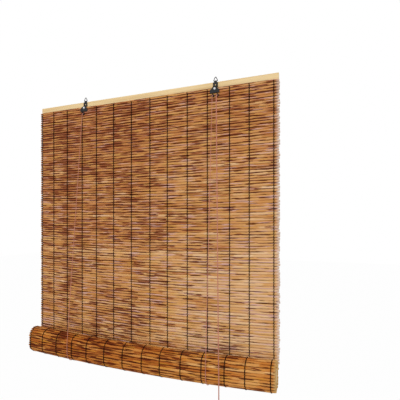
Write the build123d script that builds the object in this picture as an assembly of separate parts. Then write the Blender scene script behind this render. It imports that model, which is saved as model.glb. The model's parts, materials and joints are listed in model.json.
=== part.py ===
from build123d import *
import os
from math import asin, atan, cos, hypot, pi, radians, sin, sqrt, tan

# Bamboo roll-up blind that hangs by two wire rings. Millimetres, width along X, front towards -Y.
# The origin is midway between the rings, on the line where two hooks bear under the rings' peaks.

# Reed mat
MAT_WIDTH = 900.0
REED_DIAMETER = 7.3
REED_GAP = 1.1
MAT_REEDS = 99
REED_SHARES = (1.0, 0.93, 1.04, 0.96, 1.02, 0.9, 0.98, 1.05, 0.94, 1.01, 0.91)
LINK_THICK = 1.6
CREST_SHARE = 0.42
EDGE_WEB = 14.0
SLOT_LIP = 0.1

# Warp threads, placed across the width
THREAD_SHARES = (
    0.010, 0.072, 0.143, 0.219, 0.289, 0.370, 0.450,
    0.530, 0.602, 0.681, 0.757, 0.837, 0.905, 0.991,
)
THREAD_WIDTH = 2.2
THREAD_THICK = 0.9
THREAD_TURN_SHARE = 0.84

# Flat timber strips: the head batten and the rail inside the roll
BATTEN_HEIGHT = 54.0
BATTEN_SHOW = 20.0
STRIP_THICK = 9.0
BATTEN_EDGE = 1.2
RAIL_HEIGHT = 42.0

# Roll of mat round the rail
ROLL_TURNS = 2.7
TURN_CLEARANCE = 0.35
CORE_CLEARANCE = 0.3
WALK_SHARE = 0.01

# Wire rings
RING_WIRE = 2.2
RING_WIDTH = 15.2
RING_RISE = 16.0
RING_CORNER = 2.4

# Hangers, folded from sheet
HANGER_SHARES = (0.229, 0.784)
SHEET_THICK = 1.2
PIN_CLEARANCE = 0.08
CURL_END_DEG = -70.0
TONGUE_WIDTH = 7.0
NECK_WIDTH = 16.0
SHOULDER_DROP = 2.5
PLATE_WIDTH = 30.0
PLATE_GAP = 3.0
FLARE_DROP = 8.0
JOGGLE_LEAD = 6.0
JOGGLE_DROP = 7.0
NECK_HOLE = 4.4
NECK_HOLE_DROP = 9.0
BATTEN_DROP = 0.5

# Rivets through plate, mat and batten
RIVET_SHANK = 4.0
RIVET_HEAD = 8.0
RIVET_DOME = 2.2
RIVET_TAIL = 7.0
RIVET_TAIL_THICK = 1.4
RIVET_CLEARANCE = 0.1

# Eyelets that lead the cords through the batten, placed from their hanger
EYELET_BORE = 5.2
EYELET_WALL = 0.8
EYELET_FLANGE = 10.0
EYELET_FLANGE_THICK = 1.0
EYELET_RISE = 9.0
LEFT_EYELET_SHIFT = -3.0
RIGHT_EYELET_SHIFT = -6.0
PULL_EYELET_SHIFT = 9.0
EYELET_CLEARANCE = 0.1

# Cords
CORD_DIAMETER = 2.5
PULL_DIAMETER = 3.4
CORD_CLEARANCE = 0.3
CORNER_SHARE = 0.45
BEND_RADIUS = 5.0
KNOT_DIAMETER = 6.0
STAPLE_WIRE = 1.2
STAPLE_REACH = 6.0
STAPLE_DROP = 30.0
KNOT_DROP = 24.0
BACK_CORD_SHIFT = -9.0

# Turned acorn at the end of the pull cord
ACORN_DIAMETER = 22.0
ACORN_LENGTH = 38.0
ACORN_NECK = 9.0
ACORN_FOOT = 14.0
ACORN_BORE = 4.0
ACORN_RECESS = 9.0
ACORN_RECESS_DEPTH = 10.0
ACORN_WAIST_SHARE = 0.45
ACORN_KNOT = 7.4

# One length that every cutting tool overruns by, and a seat between touching pieces
OVERRUN = 1.0
SEAT = 0.1

# Sizes that follow from the ones above
REED_PITCH = REED_DIAMETER + REED_GAP
REED_CREST = REED_DIAMETER * max(REED_SHARES) / 2
CURL_INNER = RING_WIRE / 2 + PIN_CLEARANCE
CURL_OUTER = CURL_INNER + SHEET_THICK
PEAK_HALF_ANGLE = atan(RING_WIDTH / 2 / RING_RISE)
PEAK_Z = RING_WIRE / 2 + RING_CORNER * (1 / sin(PEAK_HALF_ANGLE) - 1)
BAR_Z = PEAK_Z - RING_RISE
BATTEN_TOP = BAR_Z - CURL_OUTER - BATTEN_DROP
BATTEN_BOTTOM = BATTEN_TOP - BATTEN_HEIGHT
BATTEN_FRONT = -CURL_INNER
BATTEN_BACK = BATTEN_FRONT + STRIP_THICK
MAT_TOP = BATTEN_TOP - BATTEN_SHOW
MAT_Y = BATTEN_FRONT - REED_CREST - SEAT
FIRST_REED_Z = MAT_TOP - REED_DIAMETER * REED_SHARES[0] / 2
THREAD_FRONT = MAT_Y - REED_CREST - SEAT - THREAD_THICK
PLATE_BACK = THREAD_FRONT - SEAT
PLATE_FRONT = PLATE_BACK - SHEET_THICK
RIVET_Z = FIRST_REED_Z
EYELET_Z = BATTEN_BOTTOM + EYELET_RISE
PLATE_BOTTOM = EYELET_Z + EYELET_FLANGE / 2 + PLATE_GAP
EYELET_FRONT = THREAD_FRONT - SEAT
EYELET_OUTER = EYELET_BORE / 2 + EYELET_WALL
TURN_PITCH = REED_DIAMETER * max(REED_SHARES) + TURN_CLEARANCE
CORE_RADIUS = STRIP_THICK / 2 + REED_CREST + CORE_CLEARANCE
ROLL_RADIUS = CORE_RADIUS + ROLL_TURNS * TURN_PITCH
ROLL_STRAIGHT = RAIL_HEIGHT - STRIP_THICK
ROLL_Y = MAT_Y - ROLL_RADIUS
ROLL_Z = FIRST_REED_Z - MAT_REEDS * REED_PITCH - ROLL_STRAIGHT / 2
CORD_OFFSET = REED_CREST + CORD_DIAMETER / 2 + CORD_CLEARANCE
SLING_BACK_Y = ROLL_Y + ROLL_RADIUS + CORD_OFFSET
SLING_FRONT_Y = ROLL_Y - ROLL_RADIUS + TURN_PITCH / 2 - CORD_OFFSET
SLING_TOP_Z = ROLL_Z + ROLL_STRAIGHT / 2
SLING_LOW_Z = ROLL_Z - ROLL_STRAIGHT / 2
CORD_FRONT_Y = EYELET_FRONT - EYELET_FLANGE_THICK - BEND_RADIUS
CORD_BACK_Y = BATTEN_BACK + EYELET_FLANGE_THICK + CORD_CLEARANCE + CORD_DIAMETER / 2
LEFT_HANGER_X = MAT_WIDTH * (HANGER_SHARES[0] - 0.5)
RIGHT_HANGER_X = MAT_WIDTH * (HANGER_SHARES[1] - 0.5)
LEFT_EYELET_X = LEFT_HANGER_X + LEFT_EYELET_SHIFT
RIGHT_EYELET_X = RIGHT_HANGER_X + RIGHT_EYELET_SHIFT
PULL_EYELET_X = RIGHT_HANGER_X + PULL_EYELET_SHIFT

# The pull cord's route: out of its eyelet, straight to the front of the roll, over it and down.
# The points are chosen by hand.
PULL_ROUTE = (
    (264.6, 11.0, -59.6),
    (264.6, -14.5, -59.6),
    (264.8, -20.0, -63.5),
    (265.2, -22.5, -72.0),
    (288.6, -69.4, -856.0),
    (289.4, -70.8, -890.0),
    (289.4, -70.6, -935.0),
    (289.2, -70.2, -990.0),
)


def reed_radius(index):
    """Radius of one reed of the mat, counted from the head."""
    return REED_DIAMETER * REED_SHARES[index % len(REED_SHARES)] / 2


def reed_reach(radius):
    """Distance from a reed's middle to where its link begins."""
    return sqrt(radius**2 - (LINK_THICK / 2) ** 2)


def thread_places():
    """X of each warp thread."""
    return [MAT_WIDTH * (share - 0.5) for share in THREAD_SHARES]


def turn_length(index):
    """Length of mat in one turn of the roll, counted inwards."""
    mean_radius = ROLL_RADIUS - TURN_PITCH * (index + 0.5)
    return 2 * ROLL_STRAIGHT + 2 * pi * mean_radius


def roll_point(run):
    """Place of the mat's middle in the roll, a run of mat in from where the panel joins it."""
    index = 0
    while run > turn_length(index):
        run -= turn_length(index)
        index += 1
    turn = turn_length(index)
    arc = turn / 2 - ROLL_STRAIGHT
    reach = ROLL_RADIUS - TURN_PITCH * (index + run / turn)
    side = 1
    if run > turn / 2:
        run -= turn / 2
        side = -1
    if run <= ROLL_STRAIGHT:
        return ROLL_Y + side * reach, ROLL_Z + side * (ROLL_STRAIGHT / 2 - run)
    angle = pi * (run - ROLL_STRAIGHT) / arc
    along = ROLL_STRAIGHT / 2 + reach * sin(angle)
    return ROLL_Y + side * reach * cos(angle), ROLL_Z - side * along


def roll_length():
    """Length of mat in the roll."""
    whole = int(ROLL_TURNS)
    return sum(turn_length(index) for index in range(whole)) + (ROLL_TURNS - whole) * turn_length(whole)


def direction(start, end):
    """Unit step between two points of a section."""
    span = hypot(end[0] - start[0], end[1] - start[1])
    return (end[0] - start[0]) / span, (end[1] - start[1]) / span


def chain_face(centres, radii):
    """Section of flat-flanked reeds in a row, each tied to the next by a thin link."""
    half = LINK_THICK / 2
    steps = [direction(near, far) for near, far in zip(centres, centres[1:])]

    def flank(side):
        """Outline along one side of the row: joint, crest, joint of each reed."""
        points = []
        for index, radius in enumerate(radii):
            before = steps[max(index - 1, 0)]
            after = steps[min(index, len(steps) - 1)]
            middle = direction((0, 0), (before[0] + after[0], before[1] + after[1]))
            reach = reed_reach(radius)
            crest = radius * CREST_SHARE
            stops = (
                (-reach, half, before),
                (-crest, radius, middle),
                (crest, radius, middle),
                (reach, half, after),
            )
            for along, across, step in stops:
                y = centres[index][0] + along * step[0] - side * across * step[1]
                z = centres[index][1] + along * step[1] + side * across * step[0]
                points.append((-MAT_WIDTH / 2, y, z))
        return points

    return Face(Wire.make_polygon(flank(1) + flank(-1)[::-1], close=True))


def tube(path, diameter):
    """Round cord or wire along a path."""
    section = Plane(origin=path @ 0, z_dir=path % 0) * Circle(diameter / 2)
    return sweep(section, path=path)


def rod(start, end, diameter):
    """Straight round bar between two points."""
    run = Vector(*end) - Vector(*start)
    return extrude(Plane(origin=start, z_dir=run) * Circle(diameter / 2), run.length)


def cross_hole(x, z, diameter):
    """Tool that drills front to back through everything at the head."""
    start = (x, PLATE_FRONT - OVERRUN, z)
    end = (x, BATTEN_BACK + OVERRUN, z)
    return rod(start, end, diameter)


def staple_leg_places():
    """X of the staples' legs in the batten."""
    spread = CORD_DIAMETER / 2 + CORD_CLEARANCE + STAPLE_WIRE / 2
    return [x + side * spread for x in back_cord_places() for side in (-1, 1)]


def back_cord_places():
    """X of the lift cords' ends behind the batten, each beside its eyelet."""
    return [LEFT_EYELET_X + BACK_CORD_SHIFT, RIGHT_EYELET_X + BACK_CORD_SHIFT]


def eyelet_places():
    """X of the left lift, right lift and pull cord's eyelets."""
    return [LEFT_EYELET_X, RIGHT_EYELET_X, PULL_EYELET_X]


def head_batten():
    """Flat timber strip with eased edges, drilled for rivets, eyelets and staples."""
    middle = ((BATTEN_FRONT + BATTEN_BACK) / 2, (BATTEN_TOP + BATTEN_BOTTOM) / 2)
    section = RectangleRounded(STRIP_THICK, BATTEN_HEIGHT, BATTEN_EDGE)
    plane = Plane(origin=(-MAT_WIDTH / 2, *middle), x_dir=(0, 1, 0), z_dir=(1, 0, 0))
    strip = extrude(plane * section, MAT_WIDTH)
    holes = []
    for x in (LEFT_HANGER_X, RIGHT_HANGER_X):
        holes.append(cross_hole(x, RIVET_Z, RIVET_SHANK + 2 * RIVET_CLEARANCE))
    for x in eyelet_places():
        holes.append(cross_hole(x, EYELET_Z, 2 * (EYELET_OUTER + EYELET_CLEARANCE)))
    for x in staple_leg_places():
        start = (x, BATTEN_BACK + OVERRUN, BATTEN_TOP - STAPLE_DROP)
        end = (x, BATTEN_BACK - STAPLE_REACH - SEAT, BATTEN_TOP - STAPLE_DROP)
        holes.append(rod(start, end, STAPLE_WIRE * sqrt(2) + 2 * SEAT))
    return strip - holes


def reed_mat():
    """Hanging panel: reeds as ridges, open between them from one edge web to the other."""
    centres = [(MAT_Y, FIRST_REED_Z - index * REED_PITCH) for index in range(MAT_REEDS)]
    radii = [reed_radius(index) for index in range(MAT_REEDS)]
    wall = extrude(chain_face(centres, radii), MAT_WIDTH, dir=(1, 0, 0))
    tools = []
    for index in range(MAT_REEDS - 1):
        upper = centres[index][1] - reed_reach(radii[index]) - SLOT_LIP
        lower = centres[index + 1][1] + reed_reach(radii[index + 1]) + SLOT_LIP
        slot = Box(MAT_WIDTH - 2 * EDGE_WEB, LINK_THICK + OVERRUN, upper - lower)
        tools.append(Pos(0, MAT_Y, (upper + lower) / 2) * slot)
    for x in (LEFT_HANGER_X, RIGHT_HANGER_X):
        tools.append(cross_hole(x, RIVET_Z, RIVET_SHANK + 2 * RIVET_CLEARANCE))
    for x in eyelet_places():
        tools.append(cross_hole(x, EYELET_Z, 2 * (EYELET_OUTER + EYELET_CLEARANCE)))
    return wall - tools


def warp_threads():
    """Dark threads down the front and the back of the panel."""
    bottom = FIRST_REED_Z - (MAT_REEDS - 1) * REED_PITCH
    bars = []
    for x in thread_places():
        front_y = THREAD_FRONT + THREAD_THICK / 2
        back_y = MAT_Y + REED_CREST + SEAT + THREAD_THICK / 2
        for y, top in ((front_y, FIRST_REED_Z), (back_y, BATTEN_BOTTOM - SEAT)):
            bar = Box(THREAD_WIDTH, THREAD_THICK, top - bottom)
            bars.append(Pos(x, y, (top + bottom) / 2) * bar)
    return Compound(children=bars)


def roll_centres():
    """Middle of each reed in the roll, a pitch apart, from the panel inwards."""
    centres = []
    run = 0
    while run < roll_length():
        centres.append(roll_point(run))
        here = centres[-1]
        ahead = here
        while hypot(ahead[0] - here[0], ahead[1] - here[1]) < REED_PITCH:
            run += REED_PITCH * WALK_SHARE
            ahead = roll_point(run)
    return centres


def reed_roll():
    """The rolled-up length of mat: one spiral of reeds round the flat rail."""
    centres = roll_centres()
    radii = [reed_radius(MAT_REEDS + index) for index in range(len(centres))]
    return extrude(chain_face(centres, radii), MAT_WIDTH, dir=(1, 0, 0))


def roll_threads():
    """Warp threads where they show, on the outermost turn of the roll."""
    centres = roll_centres()
    stops = int(turn_length(0) * THREAD_TURN_SHARE / REED_PITCH)
    low = REED_CREST + TURN_CLEARANCE
    high = low + THREAD_THICK
    inner = []
    outer = []
    for behind, (y, z), ahead in zip(centres, centres[1:stops], centres[2:]):
        span = hypot(ahead[0] - behind[0], ahead[1] - behind[1])
        normal = (-(ahead[1] - behind[1]) / span, (ahead[0] - behind[0]) / span)
        inner.append((0, y + low * normal[0], z + low * normal[1]))
        outer.append((0, y + high * normal[0], z + high * normal[1]))
    ribbon = Face(Wire.make_polygon(inner + outer[::-1], close=True))
    bands = []
    for x in thread_places():
        bands.append(extrude(Pos(x - THREAD_WIDTH / 2, 0, 0) * ribbon, THREAD_WIDTH, dir=(1, 0, 0)))
    return Compound(children=bands)


def bottom_rail():
    """Flat round-edged strip that the mat is rolled on, against the mat's last reed."""
    section = SlotOverall(RAIL_HEIGHT, STRIP_THICK)
    centres = roll_centres()
    last_y = centres[-1][0]
    reach = reed_radius(MAT_REEDS + len(centres) - 1) + CORE_CLEARANCE + STRIP_THICK / 2
    rail_y = last_y - reach if last_y > ROLL_Y else last_y + reach
    origin = (-MAT_WIDTH / 2, rail_y, ROLL_Z)
    return extrude(Plane(origin=origin, x_dir=(0, 0, 1), z_dir=(1, 0, 0)) * section, MAT_WIDTH)


def hanger_profile():
    """Side view of a hanger: curl round the ring's bar, leaf down the batten, joggle over the mat."""
    end = radians(CURL_END_DEG)
    half = SHEET_THICK * tan(atan((PLATE_BACK - BATTEN_FRONT) / -JOGGLE_DROP) / 2)
    upper = MAT_TOP + JOGGLE_LEAD
    lower = upper - JOGGLE_DROP

    def on_curl(radius, angle):
        return (0, radius * cos(angle), BAR_Z + radius * sin(angle))

    corners = [
        on_curl(CURL_OUTER, pi),
        (0, -CURL_OUTER, upper + half),
        (0, PLATE_FRONT, lower + half),
        (0, PLATE_FRONT, PLATE_BOTTOM),
        (0, PLATE_BACK, PLATE_BOTTOM),
        (0, PLATE_BACK, lower),
        (0, BATTEN_FRONT, upper),
        on_curl(CURL_INNER, pi),
    ]
    inner_end = on_curl(CURL_INNER, end)
    outer_end = on_curl(CURL_OUTER, end)
    edges = [
        Edge.make_three_point_arc(corners[-1], on_curl(CURL_INNER, pi / 2), inner_end),
        Edge.make_line(inner_end, outer_end),
        Edge.make_three_point_arc(outer_end, on_curl(CURL_OUTER, pi / 2), corners[0]),
    ]
    for start, stop in zip(corners, corners[1:]):
        edges.append(Edge.make_line(start, stop))
    return Face(Wire(edges))


def hanger_outline():
    """Front view of a hanger: tongue, neck with shoulders, flared plate."""
    top = BAR_Z + CURL_OUTER + OVERRUN
    shoulder = BATTEN_TOP + BATTEN_DROP
    neck_end = MAT_TOP
    half = [
        (TONGUE_WIDTH / 2, top),
        (TONGUE_WIDTH / 2, shoulder),
        (NECK_WIDTH / 2, shoulder - SHOULDER_DROP),
        (NECK_WIDTH / 2, neck_end),
        (PLATE_WIDTH / 2, neck_end - FLARE_DROP),
        (PLATE_WIDTH / 2, PLATE_BOTTOM - OVERRUN),
    ]
    points = half + [(-x, z) for x, z in reversed(half)]
    return Plane.XZ * make_face(Polyline(*points, close=True))


def hanger(x):
    """Folded sheet hanger at one place along the batten."""
    width = PLATE_WIDTH + 2 * OVERRUN
    sheet = extrude(Pos(-width / 2, 0, 0) * hanger_profile(), width, dir=(1, 0, 0))
    depth = CURL_OUTER - PLATE_FRONT + OVERRUN
    outline = extrude(hanger_outline(), depth, both=True)
    holes = [
        cross_hole(0, RIVET_Z, RIVET_SHANK + 2 * RIVET_CLEARANCE),
        cross_hole(0, BATTEN_TOP - NECK_HOLE_DROP, NECK_HOLE),
    ]
    return Pos(x, 0, 0) * (sheet & outline - holes)


def hanger_rivets():
    """Dome-headed rivets with a peened tail behind the batten."""
    tail = BATTEN_BACK + RIVET_TAIL_THICK
    face = PLATE_FRONT
    sphere = ((RIVET_HEAD / 2) ** 2 + RIVET_DOME**2) / (2 * RIVET_DOME)
    lean = asin(RIVET_HEAD / 2 / sphere) / 2
    crown = face - RIVET_DOME
    rivets = []
    for x in (LEFT_HANGER_X, RIGHT_HANGER_X):
        head_arc = ThreePointArc(
            (RIVET_HEAD / 2, face),
            (sphere * sin(lean), crown + sphere * (1 - cos(lean))),
            (0, crown),
        )
        rest = Polyline(
            (0, crown),
            (0, tail),
            (RIVET_TAIL / 2, tail),
            (RIVET_TAIL / 2, BATTEN_BACK),
            (RIVET_SHANK / 2, BATTEN_BACK),
            (RIVET_SHANK / 2, face),
            (RIVET_HEAD / 2, face),
        )
        rivet = revolve(make_face([*head_arc.edges(), *rest.edges()]), Axis.Y)
        rivets.append(Pos(x, 0, RIVET_Z) * rivet)
    return Compound(children=rivets)


def ring(x):
    """Three-cornered wire ring, its bar in the hanger's curl."""
    corners = [
        (-RING_WIDTH / 2, 0, BAR_Z),
        (RING_WIDTH / 2, 0, BAR_Z),
        (0, 0, PEAK_Z),
    ]
    path = FilletPolyline(*corners, radius=RING_CORNER, close=True)
    return Pos(x, 0, 0) * tube(path, RING_WIRE)


def cord_eyelets():
    """Flanged eyelets through mat and batten."""
    front = EYELET_FRONT
    back = BATTEN_BACK
    bore = EYELET_BORE / 2
    rim = EYELET_FLANGE / 2
    lip = EYELET_FLANGE_THICK
    half = [
        (bore, front - lip),
        (rim, front - lip),
        (rim, front),
        (EYELET_OUTER, front),
        (EYELET_OUTER, back),
        (rim, back),
        (rim, back + lip),
        (bore, back + lip),
    ]
    eyelet = revolve(make_face(Polyline(*half, close=True)), Axis.Y)
    return Compound(children=[Pos(x, 0, EYELET_Z) * eyelet for x in eyelet_places()])


def cord_staples():
    """Square wire staples that hold the lift cords' ends to the back of the batten."""
    inside = CORD_DIAMETER + 2 * CORD_CLEARANCE
    reach = STAPLE_REACH + inside
    block = Box(inside + 2 * STAPLE_WIRE, reach + STAPLE_WIRE, STAPLE_WIRE)
    throat = Pos(0, -STAPLE_WIRE, 0) * Box(inside, reach + STAPLE_WIRE, STAPLE_WIRE)
    middle = BATTEN_BACK - STAPLE_REACH + (reach + STAPLE_WIRE) / 2
    z = BATTEN_TOP - STAPLE_DROP
    return Compound(children=[Pos(x, middle, z) * (block - throat) for x in back_cord_places()])


def lift_cord(x):
    """Front strand of a lift cord: straight from its eyelet to the front of the roll."""
    start = (x, CORD_FRONT_Y, EYELET_Z - BEND_RADIUS - CORD_CLEARANCE)
    end = (x, SLING_FRONT_Y, SLING_TOP_Z + CORD_CLEARANCE)
    return rod(start, end, CORD_DIAMETER)


def back_cord(x):
    """Back strand of a lift cord: up behind the mat to a knot above its staple."""
    foot = (x, SLING_BACK_Y, SLING_TOP_Z + CORD_CLEARANCE)
    strand_y = BATTEN_BACK + CORD_CLEARANCE + CORD_DIAMETER / 2
    turn = (x + BACK_CORD_SHIFT, strand_y, BATTEN_BOTTOM)
    top = (x + BACK_CORD_SHIFT, strand_y, BATTEN_TOP - KNOT_DROP)
    cord = tube(FilletPolyline(foot, turn, top, radius=BATTEN_HEIGHT / 2), CORD_DIAMETER)
    rise = KNOT_DIAMETER / 2 - CORD_DIAMETER / 2
    knot = Pos(top[0], strand_y + rise, top[2]) * Sphere(KNOT_DIAMETER / 2)
    return cord + knot


def cord_sling(x):
    """Bight of a lift cord that carries the roll from below."""
    front_top = (x, SLING_FRONT_Y, SLING_TOP_Z)
    front_low = (x, SLING_FRONT_Y, SLING_LOW_Z)
    back_low = (x, SLING_BACK_Y, SLING_LOW_Z)
    back_top = (x, SLING_BACK_Y, SLING_TOP_Z)
    radius = (SLING_BACK_Y - SLING_FRONT_Y) / 2
    lowest = (x, (SLING_BACK_Y + SLING_FRONT_Y) / 2, SLING_LOW_Z - radius)
    path = Wire(
        [
            Edge.make_line(front_top, front_low),
            Edge.make_three_point_arc(front_low, lowest, back_low),
            Edge.make_line(back_low, back_top),
        ]
    )
    return tube(path, CORD_DIAMETER)


def cross_cords():
    """Lift cords through their eyelets and along the back of the batten to the pull cord's eyelet."""
    apart = CORD_DIAMETER + CORD_CLEARANCE
    end = PULL_EYELET_X - PULL_DIAMETER / 2 - CORD_CLEARANCE
    lanes = (
        (LEFT_EYELET_X, CORD_BACK_Y + apart, EYELET_Z),
        (RIGHT_EYELET_X, CORD_BACK_Y, EYELET_Z - apart),
    )
    runs = []
    for x, back, lane in lanes:
        route = FilletPolyline(
            (x, CORD_FRONT_Y, EYELET_Z - BEND_RADIUS),
            (x, CORD_FRONT_Y, EYELET_Z),
            (x, back, EYELET_Z),
            (end, back, lane),
            radius=CORD_DIAMETER,
        )
        runs.append(tube(route, CORD_DIAMETER))
    return Compound(children=runs)


def corner_radii(points):
    """Largest tangent arc at each corner of a cord's route."""
    radii = []
    for before, corner, after in zip(points, points[1:], points[2:]):
        back = Vector(*before) - Vector(*corner)
        ahead = Vector(*after) - Vector(*corner)
        turn = radians(180 - back.get_angle(ahead))
        radii.append(CORNER_SHARE * min(back.length, ahead.length) / tan(turn / 2))
    return radii


def pull_cord():
    """Free cord that raises the blind, from its eyelet down to the acorn."""
    radii = corner_radii(PULL_ROUTE)
    print("pull cord radii", [round(radius, 1) for radius in radii])
    return tube(FilletPolyline(*PULL_ROUTE, radius=radii), PULL_DIAMETER)


def pull_acorn():
    """Turned acorn with a bore for the cord and a recess for its knot."""
    x, y, top = PULL_ROUTE[-1]
    waist = -ACORN_LENGTH * ACORN_WAIST_SHARE
    widest = (ACORN_DIAMETER / 2, waist)
    shoulder = TangentArc(widest, (ACORN_NECK / 2, 0), tangent=(0, 1))
    belly = TangentArc(widest, (ACORN_FOOT / 2, -ACORN_LENGTH), tangent=(0, -1))
    inside = Polyline(
        (ACORN_FOOT / 2, -ACORN_LENGTH),
        (ACORN_RECESS / 2, -ACORN_LENGTH),
        (ACORN_RECESS / 2, ACORN_RECESS_DEPTH - ACORN_LENGTH),
        (ACORN_BORE / 2, ACORN_RECESS_DEPTH - ACORN_LENGTH),
        (ACORN_BORE / 2, 0),
        (ACORN_NECK / 2, 0),
    )
    section = Plane.XZ * make_face([*shoulder.edges(), *belly.edges(), *inside.edges()])
    return Pos(x, y, top) * revolve(section, Axis.Z)


def acorn_knot():
    """End of the pull cord in the acorn: its tail and the knot that bears in the recess."""
    x, y, top = PULL_ROUTE[-1]
    middle = ACORN_RECESS_DEPTH - ACORN_LENGTH - ACORN_KNOT / 2
    tail = rod((x, y, top - SEAT), (x, y, top + middle), PULL_DIAMETER)
    return tail + Pos(x, y, top + middle) * Sphere(ACORN_KNOT / 2)


PIECES = {
    "head_batten": head_batten(),
    "left_hanger": hanger(LEFT_HANGER_X),
    "right_hanger": hanger(RIGHT_HANGER_X),
    "hanger_rivets": hanger_rivets(),
    "left_ring": ring(LEFT_HANGER_X),
    "right_ring": ring(RIGHT_HANGER_X),
    "cord_eyelets": cord_eyelets(),
    "cord_staples": cord_staples(),
    "reed_mat": reed_mat(),
    "warp_threads": warp_threads(),
    "reed_roll": reed_roll(),
    "roll_threads": roll_threads(),
    "bottom_rail": bottom_rail(),
    "left_lift_cord": lift_cord(LEFT_EYELET_X),
    "right_lift_cord": lift_cord(RIGHT_EYELET_X),
    "left_back_cord": back_cord(LEFT_EYELET_X),
    "right_back_cord": back_cord(RIGHT_EYELET_X),
    "left_cord_sling": cord_sling(LEFT_EYELET_X),
    "right_cord_sling": cord_sling(RIGHT_EYELET_X),
    "cross_cords": cross_cords(),
    "pull_cord": pull_cord(),
    "pull_acorn": pull_acorn(),
    "acorn_knot": acorn_knot(),
}

os.makedirs("parts", exist_ok=True)
for name, piece in PIECES.items():
    export_step(piece, f"parts/{name}.step")
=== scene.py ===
import json
import logging
import math
import random
from dataclasses import dataclass
from enum import Enum
from typing import Iterable, Optional, Union

import bmesh
import bpy
from bmesh.types import BMesh, BMVert
from bpy.types import ColorRamp, Material, Mesh, NodeSocket, NodeTree, Object
from mathutils import Matrix, Vector, noise


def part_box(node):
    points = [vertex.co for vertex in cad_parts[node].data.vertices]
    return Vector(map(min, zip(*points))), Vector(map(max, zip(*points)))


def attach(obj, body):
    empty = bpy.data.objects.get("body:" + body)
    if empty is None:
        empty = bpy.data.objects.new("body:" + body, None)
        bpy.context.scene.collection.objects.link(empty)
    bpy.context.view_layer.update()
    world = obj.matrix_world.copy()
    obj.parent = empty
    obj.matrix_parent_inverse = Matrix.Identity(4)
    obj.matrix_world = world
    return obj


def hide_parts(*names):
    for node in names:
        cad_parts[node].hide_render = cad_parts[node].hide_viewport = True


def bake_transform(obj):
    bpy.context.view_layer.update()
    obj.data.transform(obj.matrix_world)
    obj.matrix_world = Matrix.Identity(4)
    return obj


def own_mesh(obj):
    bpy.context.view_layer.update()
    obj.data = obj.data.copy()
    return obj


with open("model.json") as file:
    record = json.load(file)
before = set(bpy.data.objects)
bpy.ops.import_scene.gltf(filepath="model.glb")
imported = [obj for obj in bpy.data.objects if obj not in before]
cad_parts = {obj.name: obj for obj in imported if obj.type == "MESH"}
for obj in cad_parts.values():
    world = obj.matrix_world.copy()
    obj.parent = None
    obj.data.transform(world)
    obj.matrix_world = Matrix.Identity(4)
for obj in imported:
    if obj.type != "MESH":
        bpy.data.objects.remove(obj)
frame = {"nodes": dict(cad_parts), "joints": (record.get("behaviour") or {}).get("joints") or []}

LOG = logging.getLogger("blind")
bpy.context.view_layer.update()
NODES = frame["nodes"]
JOINTS = {joint["name"]: joint for joint in frame["joints"]}

Colour = tuple[float, float, float, float]
Point = tuple[float, float, float]
Pair = tuple[float, float]
Setting = Union[str, float, int, bool, tuple]

WHITE: Colour = (1.0, 1.0, 1.0, 1.0)
# A smooth line of order 3 comes this near to a crest between two points on the middle line.
CREST_REACHED = 0.75


class Body(Enum):
    """Bodies of the blind that move apart."""

    HEAD = "head"
    SLING = "sling"
    ROLL = "roll"
    PULL = "pull"


class Side(Enum):
    """The two lifting points."""

    LEFT = "left"
    RIGHT = "right"


class Value:
    """A shader socket that takes Python arithmetic."""

    def __init__(self, tree: NodeTree, socket: NodeSocket) -> None:
        """Wrap one output socket of a node tree."""
        self.tree = tree
        self.socket = socket

    def other(self, name: str) -> "Value":
        """Another output of the same node."""
        return Value(self.tree, self.socket.node.outputs[name])

    def into(self, target: NodeSocket) -> None:
        """Link this value to an input."""
        self.tree.links.new(self.socket, target)

    def _math(self, operation: str, first: "Feed", second: "Feed") -> "Value":
        """Add a Math node.

        Args:
            operation: Name of the Math node's operation.
            first: Left operand.
            second: Right operand.

        Returns:
            The node's result.
        """
        node = self.tree.nodes.new("ShaderNodeMath")
        node.operation = operation
        for target, item in zip(node.inputs, (first, second)):
            feed(target, item)
        return Value(self.tree, node.outputs[0])

    def __add__(self, other: "Feed") -> "Value":
        """Sum."""
        return self._math("ADD", self, other)

    def __sub__(self, other: "Feed") -> "Value":
        """Difference."""
        return self._math("SUBTRACT", self, other)

    def __rsub__(self, other: "Feed") -> "Value":
        """Difference with a plain number first."""
        return self._math("SUBTRACT", other, self)

    def __mul__(self, other: "Feed") -> "Value":
        """Product."""
        return self._math("MULTIPLY", self, other)

    def __abs__(self) -> "Value":
        """Size without sign."""
        return self._math("ABSOLUTE", self, 0.0)

    __radd__ = __add__
    __rmul__ = __mul__


Feed = Union[Value, float, tuple]


def feed(target: NodeSocket, item: Feed) -> None:
    """Link a value to an input, or set the input to a constant.

    Args:
        target: The input socket.
        item: The value or constant.
    """
    if isinstance(item, Value):
        item.into(target)
    else:
        target.default_value = item


def shown_rays(tree: NodeTree) -> Value:
    """Rays that end in the picture, straight from the camera or by way of gloss or glass.

    Args:
        tree: The node tree that asks.

    Returns:
        1 for such a ray and 0 for the rest.
    """
    path = tree.nodes.new("ShaderNodeLightPath")
    seen = Value(tree, path.outputs["Is Camera Ray"])
    return seen + seen.other("Is Glossy Ray") + seen.other("Is Transmission Ray")


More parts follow.
